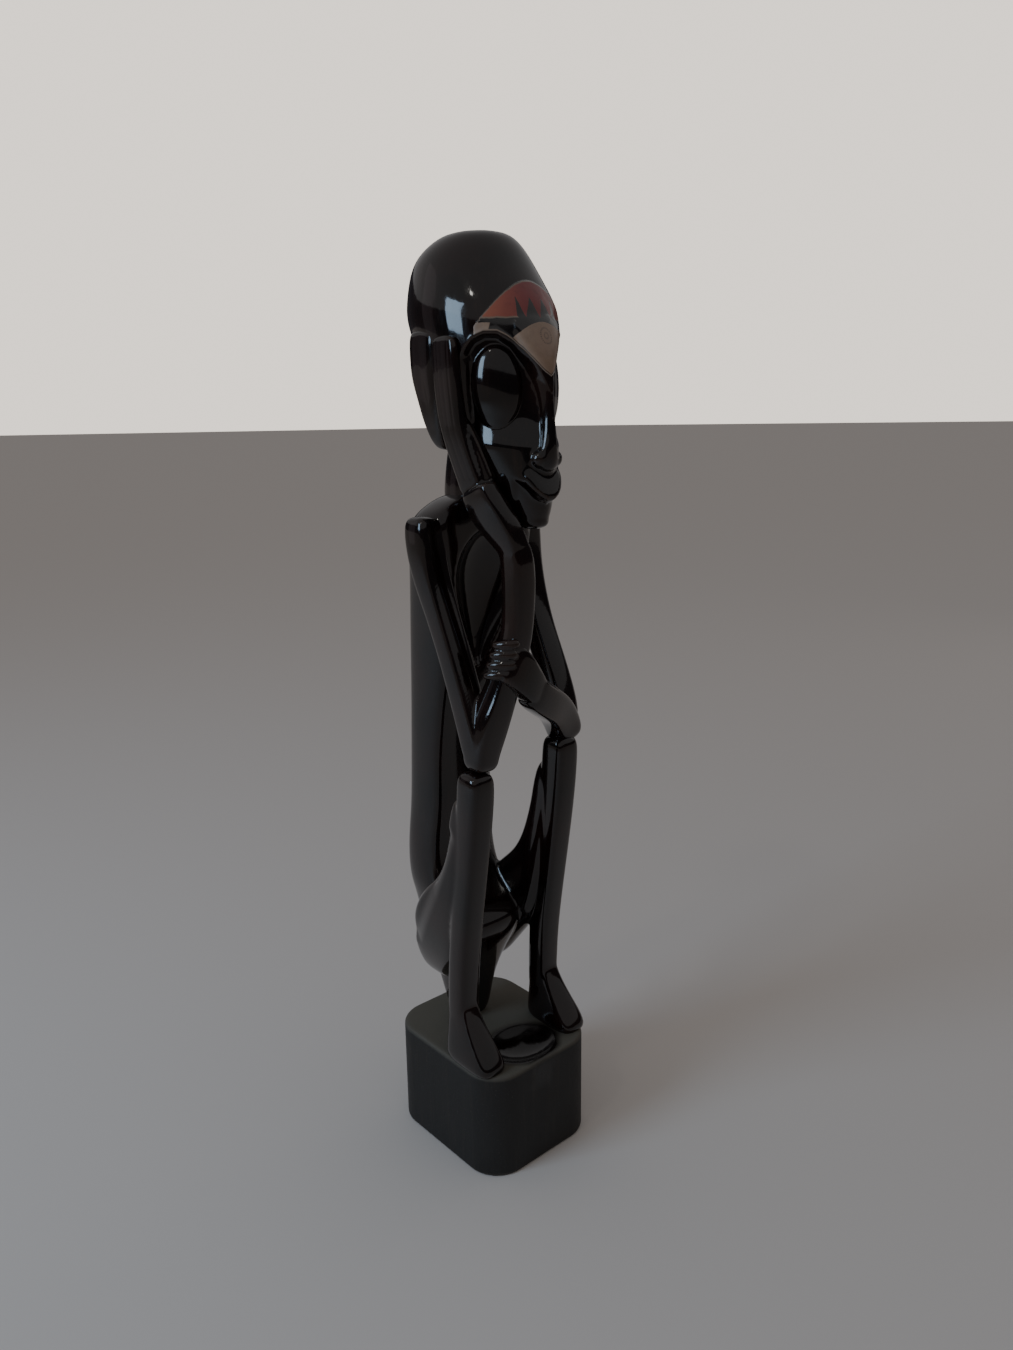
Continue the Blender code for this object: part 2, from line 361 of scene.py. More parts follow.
def stroke(mesh, path, width, depth, facing):
    """One pass of a round gouge along a path, on the surface that faces the given way."""
    points, normals = coordinates(mesh), directions(mesh)
    share = np.clip(1.0 - distance_to(points, path) / width, 0.0, 1.0)
    push = smooth(share) * depth * np.clip(normals @ np.array(facing, float) * 2.0, 0.0, 1.0)
    points -= normals * push[:, None]
    mesh.vertices.foreach_set("co", points.astype(np.float32).ravel())
    mesh.update()


# ---------------------------------------------------------------- shader tools

class Wire:
    """A shader value. Sums written on it add Math nodes."""

    def __init__(self, tree, socket):
        self.tree, self.socket = tree, socket

    def math(self, operation, *others, first=None):
        node = self.tree.nodes.new("ShaderNodeMath")
        node.operation = operation
        for slot, value in zip(node.inputs, (self, *others) if first is None else (first, self)):
            if isinstance(value, Wire):
                self.tree.links.new(value.socket, slot)
            else:
                slot.default_value = value
        return Wire(self.tree, node.outputs[0])

    def __add__(self, other): return self.math("ADD", other)
    def __radd__(self, other): return self.math("ADD", other)
    def __sub__(self, other): return self.math("SUBTRACT", other)
    def __rsub__(self, other): return self.math("SUBTRACT", first=other)
    def __mul__(self, other): return self.math("MULTIPLY", other)
    def __rmul__(self, other): return self.math("MULTIPLY", other)
    def __truediv__(self, other): return self.math("DIVIDE", other)
    def __rtruediv__(self, other): return self.math("DIVIDE", first=other)
    def __abs__(self): return self.math("ABSOLUTE")
    def least(self, other): return self.math("MINIMUM", other)
    def most(self, other): return self.math("MAXIMUM", other)
    def power(self, other): return self.math("POWER", other)
    def folded(self, span): return self.math("PINGPONG", span)

    def within(self, low, high):
        """0 up to low, 1 from high, and straight between."""
        return ((self - low) / (high - low)).most(0.0).least(1.0)


class Recipe:
    """The nodes of one finish."""

    def __init__(self, name):
        self.material = bpy.data.materials.new(name)
        self.material.use_nodes = True
        self.tree = self.material.node_tree
        self.shader = self.tree.nodes["Principled BSDF"]

    def node(self, kind, settings=None, output=0, **values):
        """A node of this kind with its settings made first, then its sockets given values or links."""
        node = self.tree.nodes.new(kind)
        for key, value in (settings or {}).items():
            if key == "stops":
                ramp = node.color_ramp.elements
                while len(ramp) < len(value):
                    ramp.new(0.5)
                for element, (place, colour) in zip(ramp, value):
                    element.position, element.color = place, colour
            else:
                setattr(node, key, value)
        for key, value in values.items():
            slot = next(s for s in node.inputs if key in (s.identifier, s.name.replace(" ", "_")))
            self.feed(slot, value)
        return Wire(self.tree, node.outputs[output])

    def feed(self, slot, value):
        """Gives a socket its value or its link."""
        if isinstance(value, Wire):
            self.tree.links.new(value.socket, slot)
        else:
            slot.default_value = value

    def surface(self, **values):
        """Feeds the finish itself."""
        for key, value in values.items():
            self.feed(self.shader.inputs[key.replace("_", " ")], value)

    def place(self, scale=(1, 1, 1)):
        """Object coordinates, stretched."""
        coordinate = self.node("ShaderNodeTexCoord", output=3)
        return self.node("ShaderNodeMapping", Vector=coordinate, Scale=scale)

    def noise(self, scale, detail=3.0, stretch=(1, 1, 1), rough=0.5):
        """Grain, or clouds, of this fineness."""
        return self.node(
            "ShaderNodeTexNoise", {"noise_dimensions": "3D"},
            Vector=self.place(stretch), Scale=scale, Detail=detail, Roughness=rough,
        )

    def mixed(self, share, first, second):
        """The first colour at 0 and the second at 1."""
        return self.node(
            "ShaderNodeMix", {"data_type": "RGBA"}, output=2,
            Factor_Float=share, A_Color=first, B_Color=second,
        )

    def stored(self, name):
        """A number that the mesh stores at each point."""
        return self.node("ShaderNodeAttribute", {"attribute_name": name}, output=2)

    def parts(self, vector):
        """The three numbers of a vector."""
        return [self.node("ShaderNodeSeparateXYZ", Vector=vector, output=axis) for axis in range(3)]

    def bump(self, height, distance, strength):
        return self.node("ShaderNodeBump", Height=height, Distance=distance, Strength=strength)


def opaque(colour, factor=1.0):
    """A shader colour, lighter or darker by the factor."""
    return (*[c * factor for c in colour], 1.0)


def lacquer_finish(name, finish):
    """Brown black lacquer, rubbed thin on edges, with faint grain, hand marks and dust under the shine."""
    recipe = Recipe(name)
    grain = recipe.noise(900.0, 4.0, (1.0, 1.0, 0.06))
    cloud = recipe.noise(38.0, 3.0)
    smudge = recipe.noise(120.0, 4.0, (1.0, 1.0, 0.5), 0.65)
    dust = recipe.noise(2600.0, 2.0).within(0.66, 0.78)
    wear = recipe.stored("wear")
    rubbed = (wear * (0.4 + smudge)).within(0.45, 0.9)
    colour = recipe.mixed(
        cloud.within(0.35, 0.70), opaque(finish.lacquer, 0.75),
        (finish.lacquer[0] * 3.0, finish.lacquer[1] * 1.8, finish.lacquer[2] * 1.6, 1.0),
    )
    colour = recipe.mixed(grain.within(0.56, 0.75) * 0.5, colour, (0.024, 0.012, 0.008, 1.0))
    colour = recipe.mixed(rubbed * 0.5, colour, (0.045, 0.024, 0.015, 1.0))
    colour = recipe.mixed(dust * 0.10, colour, (0.16, 0.15, 0.14, 1.0))
    roughness = finish.sheen + smudge.within(0.45, 0.75) * 0.09 + dust * 0.18 + rubbed * 0.12
    height = grain * 0.35 + recipe.noise(260.0, 2.0) * 0.65
    recipe.surface(
        Base_Color=colour, Roughness=roughness, Coat_Weight=0.65 - rubbed * 0.25,
        Normal=recipe.bump(height, 0.00012, 0.35),
    )
    recipe.shader.inputs["Coat Roughness"].default_value = 0.04
    recipe.shader.inputs["Specular IOR Level"].default_value = 0.3
    return recipe.material


def stain_finish(name, finish):
    """Matt stained wood, open grain and knife marks, a lighter olive top that is partly its own tone and
    partly painted overhead light, and scuffs along its edges.
    """
    recipe = Recipe(name)
    x, y, height = recipe.parts(recipe.place())
    grain = recipe.noise(420.0, 5.0, (1.0, 1.0, 0.07), 0.6)
    knife = recipe.noise(70.0, 2.0, (1.0, 1.0, 0.35))
    speck = recipe.noise(1500.0, 3.0)
    wear = recipe.stored("wear")
    patch = recipe.noise(55.0, 4.0)
    rubbed = (wear * (0.35 + patch)).within(0.30, 0.80)
    # Mask of the top face, which is painted lighter below: partly the block's own olive tone, partly
    # painted overhead light.
    top = height.within(BLOCK_TOP - 0.0022, BLOCK_TOP - 0.0004)
    across, along = (x - DISH[0]) / DISH_SIZE[0], (y - DISH[1]) / DISH_SIZE[1]
    reach = (across * across + along * along).power(0.5) + (patch - 0.5) * 0.35
    dish = (1.0 - reach.within(0.80, 0.98)) * height.within(BLOCK_TOP - 0.020, BLOCK_TOP - 0.014)
    colour = recipe.mixed(patch.within(0.35, 0.7), opaque(finish.stain, 0.8), opaque(finish.stain, 1.5))
    colour = recipe.mixed(grain.within(0.52, 0.72) * 0.6, colour, (0.028, 0.022, 0.018, 1.0))
    # The top is painted lighter olive grey: partly the wood's own tone, partly painted overhead light on
    # the top face.
    colour = recipe.mixed(top * 0.8, colour, (0.115, 0.104, 0.080, 1.0))
    colour = recipe.mixed(dish, colour, opaque(finish.lacquer, 1.2))
    colour = recipe.mixed(rubbed * 0.75, colour, (0.085, 0.073, 0.060, 1.0))
    colour = recipe.mixed(speck.within(0.64, 0.75) * 0.35, colour, (0.12, 0.11, 0.10, 1.0))
    roughness = 0.52 + patch.within(0.3, 0.7) * 0.16 + top * 0.12 - dish * 0.48
    relief = grain * 0.5 + knife * 0.8 + speck * 0.25
    recipe.surface(
        Base_Color=colour, Roughness=roughness,
        Normal=recipe.bump(relief * (1.0 - dish * 0.8), 0.00035, 0.55),
    )
    return recipe.material


# ---------------------------------------------------------------- the painted brow

# Heights on the painted brow are in millimetres, and angles in degrees from the middle of the face.
CHART_ANGLE, CHART_FOOT, CHART_HEIGHT = 120.0, 330.0, 60.0
BROW_SPAN = 56.0
BROW_TOP = 376.5
ARC_FALL = 16.5 / 55.0 ** 2
FIELD_LINE = 362.4
TOOTH, TOOTH_HEIGHT = 6.75, 7.6     # half the width of one tooth of the zigzag, and its height
LEAF_TOP = 360.9
LEAF_FALL = 4.2 / 21.0 ** 2

# Where the carved brow ends and where its paint ends: angles, and heights in metres.
BROW_EDGE = ((0, 10, 24, 37, 48, 58, 68), (0.3350, 0.3456, 0.3532, 0.3567, 0.3568, 0.3550, 0.3500))
PAINT_EDGE = (
    (0, 4, 10, 17, 24, 30, 37, 48, 58),
    (0.3412, 0.3428, 0.3466, 0.3509, 0.3541, 0.3560, 0.3576, 0.3577, 0.3560),
)


def painted_finish(name, finish):
    """The brow: a red field with black teeth, a tan leaf and thin tan lines, on the black lacquer."""
    recipe = Recipe(name)
    chart = recipe.node("ShaderNodeUVMap", {"uv_map": "brow"})
    across, up, _ = recipe.parts(chart)
    rise = recipe.stored("rise")
    angle = (across - 0.5) * CHART_ANGLE
    turn = abs(angle)
    hand = recipe.noise(420.0, 2.0)
    height = up * CHART_HEIGHT + CHART_FOOT + (hand - 0.5) * 0.7
    arc = BROW_TOP - turn * turn * ARC_FALL

    def over(value, soft=0.10):
        return value.within(-soft, soft)

    in_field = over(height - FIELD_LINE) * over(arc - 0.75 - height)
    teeth = over(FIELD_LINE + turn.folded(TOOTH) * (TOOTH_HEIGHT / TOOTH) - height) * over(20.6 - turn, 0.3)
    red = in_field * (1.0 - teeth)
    leaf = over(LEAF_TOP - turn * turn * LEAF_FALL - height) * over(rise - 0.9) * over(25.0 - turn, 0.4)
    cap = over(turn - 44.5 + (height - 357.0) * 0.6, 0.4) * over(360.6 - height) * over(rise - 0.35)
    line = over(0.30 - abs(height - FIELD_LINE), 0.08) * over(turn - 20.0, 0.5)
    rim = over(0.22 - abs(arc - 0.55 - height), 0.08)
    edge = over(0.28 - abs(rise - 0.35), 0.08)
    ring_x, ring_z = angle * 0.60, height - 355.9
    ring = (ring_x * ring_x + ring_z * ring_z).power(0.5)
    spin = ring_z.math("ARCTAN2", ring_x) * (12.0 / math.pi)
    gaps = over(0.26 - abs(spin.folded(1.0) - 0.5), 0.1)
    dots = (over(0.30 - abs(ring - 2.9), 0.1) + over(0.30 - abs(ring - 1.1), 0.1)) * gaps

    worn = recipe.noise(260.0, 4.0, rough=0.7)
    red_paint = recipe.mixed(
        turn.within(12.0, 52.0), opaque(finish.brow_red),
        (finish.brow_red[0] * 1.7, finish.brow_red[1] * 3.6, finish.brow_red[2] * 1.8, 1.0),
    )
    red_paint = recipe.mixed(worn.within(0.5, 0.8) * 0.5, red_paint, opaque(finish.brow_red, 0.5))
    tan_paint = recipe.mixed(
        worn.within(0.45, 0.75) * 0.5, opaque(finish.brow_tan), opaque(finish.brow_tan, 0.6),
    )
    colour = recipe.mixed(red, opaque(finish.lacquer), red_paint)
    colour = recipe.mixed((leaf * (1.0 - dots.least(1.0) * 0.55)).most(cap), colour, tan_paint)
    colour = recipe.mixed(line.most(rim).most(edge) * 0.8, colour, opaque(finish.brow_tan, 0.75))
    paint = red.most(leaf).most(cap)
    recipe.surface(
        Base_Color=colour, Roughness=0.14 + paint * 0.20 + worn.within(0.4, 0.8) * 0.1,
        Coat_Weight=1.0 - paint * 0.5,
        Normal=recipe.bump(worn * 0.4 - line - rim - dots * 0.5, 0.0001, 0.5),
    )
    recipe.shader.inputs["Coat Roughness"].default_value = 0.06
    return recipe.material


# ---------------------------------------------------------------- the carved face

SOCKET_DEPTH, ROLL_DEPTH, CHIN_DEPTH = 0.0038, 0.00025, 0.0014
EYE_ANGLE, EYE_HEIGHT, EYE_DEPTH = 38.5, 0.3378, 0.0034


def face_depth(angle, height):
    """How deep the face is cut at an angle from its middle, in degrees, and a height."""
    brow = np.interp(angle, *BROW_EDGE)
    within_face = smooth((70.0 - angle) / 8.0)
    beside_nose = smooth((angle - 1.5) / 13.0)
    below_brow = smooth((brow - height) / 0.0013) * smooth((height - 0.3150) / 0.0120)
    socket = SOCKET_DEPTH * below_brow * within_face * beside_nose
    eye = 1.0 - ((angle - EYE_ANGLE) / 24.0) ** 2 - ((height - EYE_HEIGHT) / 0.0150) ** 2
    bulge = EYE_DEPTH * np.sqrt(np.clip(eye, 0.0, 1.0))
    roll = np.exp(-(((height - brow - 0.0006) / 0.0009) ** 2)) * smooth((64.0 - angle) / 8.0)
    lip = np.interp(angle, (0, 20, 28), (0.2946, 0.3030, 0.3050))
    chin = smooth((lip - height) / 0.0010) * smooth((height - 0.2850) / 0.004)
    return socket - bulge - ROLL_DEPTH * roll + CHIN_DEPTH * chin * smooth((28.0 - angle) / 8.0)


def cut_face(mesh):
    """Carves the brow edge, sockets, eyes and chin into the front of the head."""
    points = coordinates(mesh)
    ahead = points[:, 1] < FACE_AXIS_Y - 0.005
    angle = np.degrees(np.arctan2(np.abs(points[:, 0]), FACE_AXIS_Y - points[:, 1]))
    depth = np.where(ahead, face_depth(angle, points[:, 2]), 0.0)
    out = np.stack([points[:, 0], points[:, 1] - FACE_AXIS_Y, np.zeros(len(points))], 1)
    out /= np.maximum(np.linalg.norm(out, axis=1), 1e-6)[:, None]
    points -= out * depth[:, None]
    mesh.vertices.foreach_set("co", points.astype(np.float32).ravel())
    mesh.update()
    rub(mesh, 2)


# ---------------------------------------------------------------- finishing a piece

def wear_of(mesh):
    """Stores how sharply the surface turns outwards, from 0 on flats and hollows to 1 on edges."""
    points, normals = coordinates(mesh), directions(mesh)
    ends = np.empty(len(mesh.edges) * 2, np.int32)
    mesh.edges.foreach_get("vertices", ends)
    ends = ends.reshape(-1, 2)
    count = np.bincount(ends.ravel(), minlength=len(points)).astype(float)
    count[count == 0] = 1.0

    def around(values):
        total = np.bincount(ends[:, 0], values[ends[:, 1]], len(values))
        return (total + np.bincount(ends[:, 1], values[ends[:, 0]], len(values))) / count

    mean = np.stack([around(points[:, axis]) for axis in range(3)], 1)
    spread = around((points ** 2).sum(1)) - 2 * (mean * points).sum(1) + (points ** 2).sum(1)
    turn = ((points - mean) * normals).sum(1) / np.maximum(spread, 1e-12) * 2
    for _ in range(4):
        turn = 0.5 * turn + 0.5 * around(turn)
    wear = np.clip(turn / 400.0, 0.0, 1.0)
    layer = mesh.attributes.get("wear") or mesh.attributes.new("wear", "FLOAT", "POINT")
    layer.data.foreach_set("value", wear.astype(np.float32))


def piece(name, mesh, material, nodes):
    """A finished piece: shaded smooth, worn, in its finish, riding on the carving."""
    if nodes:
        name = "carved_" + name
    mesh.name = name
    mesh.materials.clear()
    mesh.materials.append(material)
    mesh.shade_smooth()
    if "wear" not in mesh.attributes:
        wear_of(mesh)
    use_kept_normals(mesh)
    item = bpy.data.objects.new(name, mesh)
    bpy.context.scene.collection.objects.link(item)
    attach(item, "root")
    if nodes:
        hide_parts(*nodes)
    return item


def finish_named(name, maker):
    """The finish of this name, made the first time that it is asked for."""
    return bpy.data.materials.get(name) or maker(name, bpy.context.scene.statuette_finish)


def lacquered(node, mesh, name=None):
    """A carved member in black lacquer that stands for the plain one."""
    lacquer = finish_named("black_lacquer_finish", lacquer_finish)
    return piece(name or node, mesh, lacquer, (node,))


# ---------------------------------------------------------------- operators

class STATUETTE_OT_head(bpy.types.Operator):
    """Carve the head: crown, brow, sockets, eyes, nose and mouth, and the neck"""
    bl_idname = "statuette.head"
    bl_label = "Head"

    def execute(self, context):
        sizes = context.scene.statuette_sizes
        forms = [rounded(levels([
            (0.2835, 0, 0.0060, -0.0368, -0.0250),
            (0.2910, 0, 0.0098, -0.0400, -0.0155),
            (0.3030, 0, 0.0146, -0.0402, -0.0040),
            (0.3130, 0, 0.0184, -0.0392, 0.0050),
            (0.3250, 0, 0.0216, -0.0380, 0.0100),
            (0.3360, 0, 0.0242, -0.0370, 0.0140),
            (0.3470, 0, 0.0262, -0.0364, 0.0215),
            (0.3573, 0, 0.0276, -0.0368, 0.0292),
            (0.3648, 0, 0.0279, -0.0358, 0.0324),
            (0.3702, 0, 0.0274, -0.0336, 0.0326),
            (0.3796, 0, 0.0249, -0.0268, 0.0314),
            (0.3868, 0, 0.0222, -0.0218, 0.0288),
            (0.3928, 0, 0.0176, -0.0172, 0.0206),
            (0.3971, 0, 0.0104, -0.0112, 0.0106),
        ], ROUND), 3)]
        forms.append(rounded(bar([
            ((0, -0.0315, 0.3650), 0.0120, 0.0030),
            ((0, -0.0340, 0.3570), 0.0118, 0.0045),
            ((0, -0.0362, 0.3490), 0.0074, 0.0046),
            ((0, -0.0374, 0.3410), 0.0036, 0.0042),
            ((0, -0.0388, 0.3300), 0.0021, 0.0036),
            ((0, -0.0398, 0.3215), 0.0025, 0.0034),
            ((0, -0.0402, 0.3150), 0.0040, 0.0034),
            ((0, -0.0394, 0.3105), 0.0054, 0.0038),
            ((0, -0.0370, 0.3072), 0.0048, 0.0036),
        ], chamfer=ROUND), 3))
        forms.append(rounded(levels([
            (0.3094, 0, 0.0070, -0.0372, -0.0300),
            (0.3056, 0, 0.0106, -0.0388, -0.0280),
            (0.2995, 0, 0.0082, -0.0412, -0.0280),
            (0.2942, 0, 0.0040, -0.0430, -0.0280),
        ], SQUARE), 3))
        for side in (-1, 1):
            forms.append(mesh_of(ball((side * 0.0042, -0.0388, 0.3112), (0.0029, 0.0031, 0.0033))))
        forms.append(rounded(bar([
            ((0, 0.0060, 0.2840), 0.0122, 0.0118),
            ((0, 0.0060, 0.3030), 0.0108, 0.0110),
            ((0, 0.0025, 0.3230), 0.0100, 0.0098),
            ((0, -0.0040, 0.3380), 0.0080, 0.0080),
        ], chamfer=SOFT_SQUARE), 3))
        skin = fused(forms, sizes.head_cut, 5)
        cut_face(skin)
        wear_of(skin)
        keep_normals(skin)
        column, skin = sawn(skin, (0, 0.0060, 0.3120), (0, -0.850, 0.530))
        lacquered("neck", column)
        lacquered("head", skin)
        return {"FINISHED"}


class STATUETTE_OT_brow(bpy.types.Operator):
    """Lay the painted field on the brow"""
    bl_idname = "statuette.brow"
    bl_label = "Painted brow"

    def execute(self, context):
        head = bmesh.new()
        head.from_mesh(bpy.data.objects["carved_head"].data)
        surface = BVHTree.FromBMesh(head)
        head.free()
        field = bmesh.new()
        bmesh.ops.create_grid(field, x_segments=150, y_segments=44, size=1.0)
        chart = field.loops.layers.uv.new("brow")
        rise = field.verts.layers.float.new("rise")
        marks = {}
        for vertex in field.verts:
            angle = vertex.co.x * BROW_SPAN
            turn = abs(angle)
            bottom = float(np.interp(turn, *PAINT_EDGE))
            top = (BROW_TOP - turn * turn * ARC_FALL) * MM
            height = bottom + (top - bottom) * (vertex.co.y + 1) / 2
            start = Vector(on_head(angle, 0.08, height))
            inward = Vector((-start.x, FACE_AXIS_Y - start.y, 0)).normalized()
            hit, normal, _, _ = surface.ray_cast(start, inward)
            vertex.co = hit + normal * 0.00009
            vertex[rise] = (height - bottom) / MM
            marks[vertex.index] = (angle / CHART_ANGLE + 0.5, (height / MM - CHART_FOOT) / CHART_HEIGHT)
        field.verts.index_update()
        for face in field.faces:
            for loop in face.loops:
                loop[chart].uv = marks[loop.vert.index]
        bmesh.ops.recalc_face_normals(field, faces=field.faces)
        if sum(face.normal.y for face in field.faces) > 0:
            bmesh.ops.reverse_faces(field, faces=field.faces)
        bmesh.ops.solidify(field, geom=field.faces[:], thickness=0.0006)
        bmesh.ops.recalc_face_normals(field, faces=field.faces)
        paint = finish_named("brow_paint_finish", painted_finish)
        piece("painted_brow", mesh_of(field), paint, ())
        return {"FINISHED"}


class STATUETTE_OT_ears(bpy.types.Operator):
    """Carve the two long ears"""
    bl_idname = "statuette.ears"
    bl_label = "Ears"

    def execute(self, context):
        sizes = context.scene.statuette_sizes
        for side, word in ((-1, "right"), (1, "left")):
            lobe = levels([
                (0.3602, side * 0.0212, 0.0048, -0.0040, 0.0108),
                (0.3582, side * 0.0222, 0.0054, -0.0048, 0.0122),
                (0.3500, side * 0.0222, 0.0052, -0.0045, 0.0124),
                (0.3419, side * 0.0222, 0.0049, -0.0042, 0.0120),
                (0.3341, side * 0.0213, 0.0046, -0.0038, 0.0098),
                (0.3251, side * 0.0200, 0.0043, -0.0030, 0.0082),
                (0.3183, side * 0.0185, 0.0038, -0.0020, 0.0058),
                (0.3143, side * 0.0168, 0.0030, -0.0010, 0.0036),
            ], SQUARE)
            skin = fused([rounded(lobe, 3)], sizes.arm_cut, 4)
            stroke(skin, [
                (side * 0.0270, 0.0040, 0.3550), (side * 0.0268, 0.0045, 0.3420),
                (side * 0.0235, 0.0030, 0.3230),
            ], 0.0050, 0.0003, (side, 0, 0))
            lacquered(word + "_ear", skin)
        return {"FINISHED"}


def right_hand_forms():
    """The palm, the flat of the fingers and the thumb, all under the cheek."""
    palm = rounded(bar([
        ((-0.0100, -0.0322, 0.2690), 0.0044, 0.0046),
        ((-0.0104, -0.0318, 0.2760), 0.0052, 0.0056),
        ((-0.0124, -0.0301, 0.2815), 0.0054, 0.0068),
        ((-0.0152, -0.0272, 0.2872), 0.0054, 0.0082),
        ((-0.0180, -0.0240, 0.2932), 0.0050, 0.0094),
        ((-0.0192, -0.0212, 0.2988), 0.0042, 0.0094),
        ((-0.0194, -0.0204, 0.3012), 0.0038, 0.0090),
    ], towards=(-0.15, -0.85, 0.5), chamfer=SQUARE), 3)
    paddle = rounded(bar([
        ((-0.0182, -0.0185, 0.2960), 0.0030, 0.0068),
        ((-0.0196, -0.0172, 0.3037), 0.0030, 0.0068),
        ((-0.0214, -0.0148, 0.3123), 0.0030, 0.0067),
        ((-0.0232, -0.0128, 0.3208), 0.0030, 0.0067),
        ((-0.0245, -0.0116, 0.3292), 0.0028, 0.0070),
        ((-0.0257, -0.0112, 0.3416), 0.0024, 0.0072),
        ((-0.0264, -0.0110, 0.3520), 0.0021, 0.0070),
        ((-0.0266, -0.0108, 0.3572), 0.0017, 0.0062),
    ], chamfer=SQUARE), 3)
    thumb = rounded(bar([
        ((-0.0160, -0.0228, 0.2990), 0.0034, 0.0050),
        ((-0.0172, -0.0212, 0.3070), 0.0032, 0.0042),
        ((-0.0192, -0.0196, 0.3150), 0.0026, 0.0032),
        ((-0.0212, -0.0178, 0.3230), 0.0018, 0.0020),
        ((-0.0222, -0.0168, 0.3270), 0.0010, 0.0010),
    ], towards=(0.45, -0.9, 0), chamfer=SQUARE), 3)
    return [palm, paddle, thumb]


def part_fingers(skin):
    """Three fine lines between the fingers of the right hand."""
    for gap in (-FINGER_PITCH, 0, FINGER_PITCH):
        stroke(skin, [
            (-0.0228, -0.0165 + gap, 0.3040), (-0.0262, -0.0122 + gap, 0.3208),
            (-0.0283, -0.0112 + gap, 0.3416), (-0.0286, -0.0110 + gap, 0.3590),
        ], 0.0010, 0.00006, (-1, 0, 0))


def left_hand_forms():
    """The back of the fist and the four fingers that show round the other forearm."""
    forms = [rounded(bar([
        ((0.0030, -0.0308, 0.2150), 0.0040, 0.0050),
        ((-0.0018, -0.0326, 0.2186), 0.0048, 0.0066),
        ((-0.0064, -0.0340, 0.2234), 0.0046, 0.0074),
        ((-0.0112, -0.0350, 0.2288), 0.0038, 0.0082),
        ((-0.0150, -0.0346, 0.2326), 0.0030, 0.0086),
        ((-0.0172, -0.0338, 0.2338), 0.0024, 0.0080),
    ], towards=(0.35, 0, 1), chamfer=SQUARE), 3)]
    for finger in range(4):
        height = 0.2408 - 0.0041 * finger
        lean = 0.0009 * finger
        forms.append(rounded(bar([
            ((-0.0130 - lean, -0.0366, height), 0.0022, 0.0019),
            ((-0.0168 - lean, -0.0362 + lean, height), 0.0025, 0.0022),
            ((-0.0190 - lean, -0.0326 + lean, height - 0.0004), 0.0025, 0.0022),
            ((-0.0200 - lean, -0.0282 + lean, height - 0.0010), 0.0020, 0.0017),
        ], towards=(0, 0, 1), chamfer=ROUND), 2))
    return forms


class STATUETTE_OT_arms(bpy.types.Operator):
    """Carve both arms with their hands, each in one skin that is sawn at the elbow and the wrist"""
    bl_idname = "statuette.arms"
    bl_label = "Arms"

    def execute(self, context):
        sizes = context.scene.statuette_sizes
        for word, upper, fore, hand, elbow, plane, wrist, across in (
            ("right", [
                ((-0.0266, 0.0042, 0.2890), 0.0064, 0.0062),
                ((-0.0276, 0.0040, 0.2835), 0.0072, 0.0072),
                ((-0.0270, 0.0026, 0.2682), 0.0068, 0.0066),
                ((-0.0250, -0.0034, 0.2500), 0.0060, 0.0059),
                ((-0.0240, -0.0102, 0.2314), 0.0058, 0.0058),
                ((-0.0233, -0.0155, 0.2150), 0.0058, 0.0058),
                ((-0.0226, -0.0205, 0.1990), 0.0058, 0.0058),
                ((-0.0222, -0.0222, 0.1890), 0.0056, 0.0056),
            ], [
                ((-0.0221, -0.0219, 0.1858), 0.0056, 0.0058),
                ((-0.0220, -0.0222, 0.1930), 0.0064, 0.0064),
                ((-0.0208, -0.0230, 0.2000), 0.0072, 0.0070),
                ((-0.0187, -0.0250, 0.2093), 0.0072, 0.0070),
                ((-0.0160, -0.0271, 0.2175), 0.0062, 0.0062),
                ((-0.0122, -0.0304, 0.2328), 0.0054, 0.0056),
                ((-0.0101, -0.0321, 0.2435), 0.0053, 0.0056),
                ((-0.0095, -0.0325, 0.2600), 0.0056, 0.0058),
                ((-0.0096, -0.0325, 0.2698), 0.0058, 0.0058),
                ((-0.0104, -0.0316, 0.2775), 0.0056, 0.0058),
                ((-0.0132, -0.0290, 0.2835), 0.0040, 0.0044),
            ], right_hand_forms, (-0.0230, -0.0205, 0.2045), (0, 0.985, -0.172), (0, 0, 0.2770), (0, 0, 1)),
            ("left", [
                ((0.0266, 0.0066, 0.2890), 0.0064, 0.0062),
                ((0.0276, 0.0064, 0.2835), 0.0072, 0.0072),
                ((0.0276, 0.0050, 0.2640), 0.0064, 0.0064),
                ((0.0282, -0.0018, 0.2407), 0.0058, 0.0060),
                ((0.0288, -0.0080, 0.2268), 0.0058, 0.0060),
                ((0.0292, -0.0130, 0.2150), 0.0058, 0.0060),
                ((0.0296, -0.0170, 0.2040), 0.0058, 0.0060),
                ((0.0294, -0.0190, 0.1935), 0.0054, 0.0056),
            ], [
                ((0.0298, -0.0190, 0.1885), 0.0066, 0.0062),
                ((0.0280, -0.0195, 0.1950), 0.0074, 0.0064),
                ((0.0190, -0.0240, 0.2055), 0.0074, 0.0064),
                ((0.0080, -0.0290, 0.2115), 0.0074, 0.0062),
                ((-0.0020, -0.0324, 0.2178), 0.0074, 0.0054),
                ((-0.0060, -0.0338, 0.2212), 0.0062, 0.0036),
            ], left_hand_forms, (0.0292, -0.0190, 0.2030), (0.949, 0, 0.315), (-0.0030, 0, 0), (-1, 0, 0)),
        ):
            limb = [rounded(bar(stations, chamfer=SQUARE), 3) for stations in (upper, fore)]
            skin = fused(limb + hand(), sizes.arm_cut, 5)
            if word == "right":
                part_fingers(skin)
            wear_of(skin)
            keep_normals(skin)
            lower, higher = sawn(skin, elbow, plane)
            lower, tip = sawn(lower, wrist, across)
            for part, shape in (("upper_arm", higher), ("forearm", lower), ("hand", tip)):
                lacquered(f"{word}_{part}", shape)
        return {"FINISHED"}


